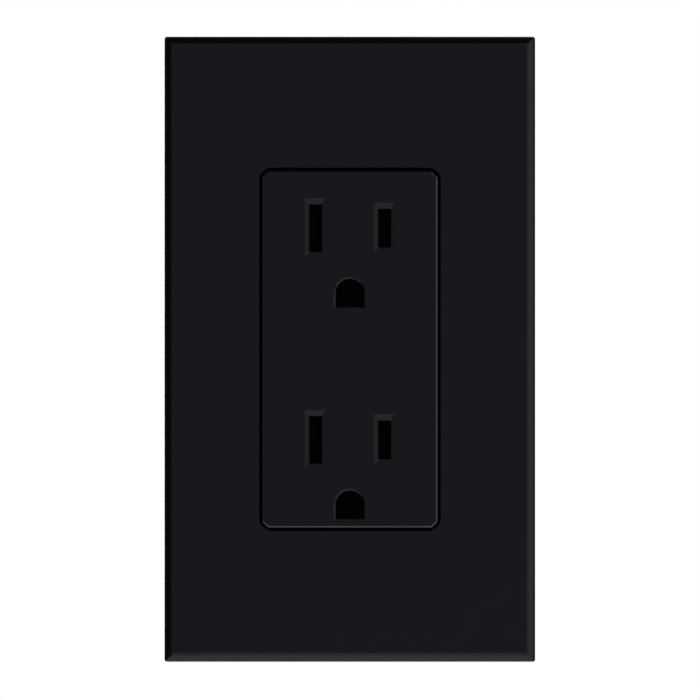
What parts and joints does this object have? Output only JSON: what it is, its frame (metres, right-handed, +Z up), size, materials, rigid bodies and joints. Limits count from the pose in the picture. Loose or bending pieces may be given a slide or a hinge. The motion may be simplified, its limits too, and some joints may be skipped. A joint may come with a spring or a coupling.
{
  "type": "duplex wall outlet",
  "caption": "Flush duplex wall outlet: rectangular receptacle face with grounded slots behind a bevelled screwless cover plate, on a steel strap with side terminals.",
  "frame": {"origin": "centre of the cover plate's outline on the wall surface, where the strap ears and the plate's rim rest", "axes": "+X to the right as seen from the front, +Y into the wall, +Z up; the front faces -Y"},
  "size_m": [0.068, 0.0314, 0.1148],
  "materials": {
    "cover_black": "satin black moulded polycarbonate",
    "face_black": "satin black moulded thermoplastic",
    "frame_black": "matte black moulded plastic",
    "body_black": "fine-textured black moulded plastic",
    "shutter_black": "matte black moulded plastic",
    "fibre": "pressed vulcanised fibre",
    "zinc_steel": "zinc-plated pressed steel",
    "spring_steel": "drawn spring wire",
    "brass": "stamped brass",
    "nickel": "nickel-plated brass",
    "green_steel": "green-dyed zinc-plated steel"
  },
  "bodies": {
    "device": {"mounting_frame": "frame_black", "receptacle_face": "face_black", "rear_body": "body_black", "shutter_tray_upper": "body_black", "shutter_tray_lower": "body_black", "shutter_spring_upper": "spring_steel", "shutter_spring_lower": "spring_steel", "screw_retainer_upper": "fibre", "screw_retainer_lower": "fibre", "mounting_strap": "zinc_steel", "box_screw_upper": "zinc_steel", "box_screw_lower": "zinc_steel", "frame_screw_upper": "zinc_steel", "frame_screw_lower": "zinc_steel", "housing_screw_upper_left": "zinc_steel", "housing_screw_upper_right": "zinc_steel", "housing_screw_lower_left": "zinc_steel", "housing_screw_lower_right": "zinc_steel", "line_bus": "brass", "ground_contact_upper": "brass", "ground_contact_lower": "brass", "ground_rivet_upper_left": "brass", "ground_rivet_upper_right": "brass", "ground_rivet_lower_left": "brass", "ground_rivet_lower_right": "brass", "neutral_bus": "nickel"},
    "cover": {"cover_plate": "cover_black"},
    "line_upper_clamp": {"line_clamp_upper": "brass"},
    "line_upper_screw": {"line_screw_upper": "brass"},
    "neutral_upper_clamp": {"neutral_clamp_upper": "nickel"},
    "neutral_upper_screw": {"neutral_screw_upper": "nickel"},
    "line_lower_clamp": {"line_clamp_lower": "brass"},
    "line_lower_screw": {"line_screw_lower": "brass"},
    "neutral_lower_clamp": {"neutral_clamp_lower": "nickel"},
    "neutral_lower_screw": {"neutral_screw_lower": "nickel"},
    "ground_clamp": {"ground_clamp": "zinc_steel"},
    "ground_screw": {"ground_screw": "green_steel"},
    "shutter_upper": {"shutter_upper": "shutter_black"},
    "shutter_lower": {"shutter_lower": "shutter_black"}
  },
  "joints": [
    {"name": "cover_pull_off", "type": "slide", "parent": "device", "child": "cover", "axis": [0, -1, 0], "range_m": [0, 0.012]},
    {"name": "line_upper_clamp_travel", "type": "slide", "parent": "device", "child": "line_upper_clamp", "axis": [1, 0, 0], "range_m": [0, 0.0029]},
    {"name": "line_upper_screw_turn", "type": "hinge", "parent": "line_upper_clamp", "child": "line_upper_screw", "pos_m": [0.0148, 0.0105, 0.0222], "axis": [1, 0, 0], "range_deg": [0, 1320]},
    {"name": "neutral_upper_clamp_travel", "type": "slide", "parent": "device", "child": "neutral_upper_clamp", "axis": [-1, 0, 0], "range_m": [0, 0.0029]},
    {"name": "neutral_upper_screw_turn", "type": "hinge", "parent": "neutral_upper_clamp", "child": "neutral_upper_screw", "pos_m": [-0.0148, 0.0105, 0.0222], "axis": [-1, 0, 0], "range_deg": [0, 1320]},
    {"name": "line_lower_clamp_travel", "type": "slide", "parent": "device", "child": "line_lower_clamp", "axis": [1, 0, 0], "range_m": [0, 0.0029]},
    {"name": "line_lower_screw_turn", "type": "hinge", "parent": "line_lower_clamp", "child": "line_lower_screw", "pos_m": [0.0148, 0.0105, -0.0166], "axis": [1, 0, 0], "range_deg": [0, 1320]},
    {"name": "neutral_lower_clamp_travel", "type": "slide", "parent": "device", "child": "neutral_lower_clamp", "axis": [-1, 0, 0], "range_m": [0, 0.0029]},
    {"name": "neutral_lower_screw_turn", "type": "hinge", "parent": "neutral_lower_clamp", "child": "neutral_lower_screw", "pos_m": [-0.0148, 0.0105, -0.0166], "axis": [-1, 0, 0], "range_deg": [0, 1320]},
    {"name": "ground_clamp_travel", "type": "slide", "parent": "device", "child": "ground_clamp", "axis": [-1, 0, 0], "range_m": [0, 0.0029]},
    {"name": "ground_screw_turn", "type": "hinge", "parent": "ground_clamp", "child": "ground_screw", "pos_m": [-0.0144, 0.007, -0.043], "axis": [-1, 0, 0], "range_deg": [0, 1320]},
    {"name": "shutter_upper_slide", "type": "slide", "parent": "device", "child": "shutter_upper", "axis": [-1, 0, 0], "range_m": [0, 0.003], "stiffness_N_per_m": 120, "springref_m": -0.002, "deforming": ["shutter_spring_upper"]},
    {"name": "shutter_lower_slide", "type": "slide", "parent": "device", "child": "shutter_lower", "axis": [-1, 0, 0], "range_m": [0, 0.003], "stiffness_N_per_m": 120, "springref_m": -0.002, "deforming": ["shutter_spring_lower"]}
  ],
  "couplings": [
    {"joint": "line_upper_screw_turn", "follows": "line_upper_clamp_travel", "rad_per_m": 7913.3},
    {"joint": "neutral_upper_screw_turn", "follows": "neutral_upper_clamp_travel", "rad_per_m": 7913.3},
    {"joint": "line_lower_screw_turn", "follows": "line_lower_clamp_travel", "rad_per_m": 7913.3},
    {"joint": "neutral_lower_screw_turn", "follows": "neutral_lower_clamp_travel", "rad_per_m": 7913.3},
    {"joint": "ground_screw_turn", "follows": "ground_clamp_travel", "rad_per_m": 7913.3}
  ]
}
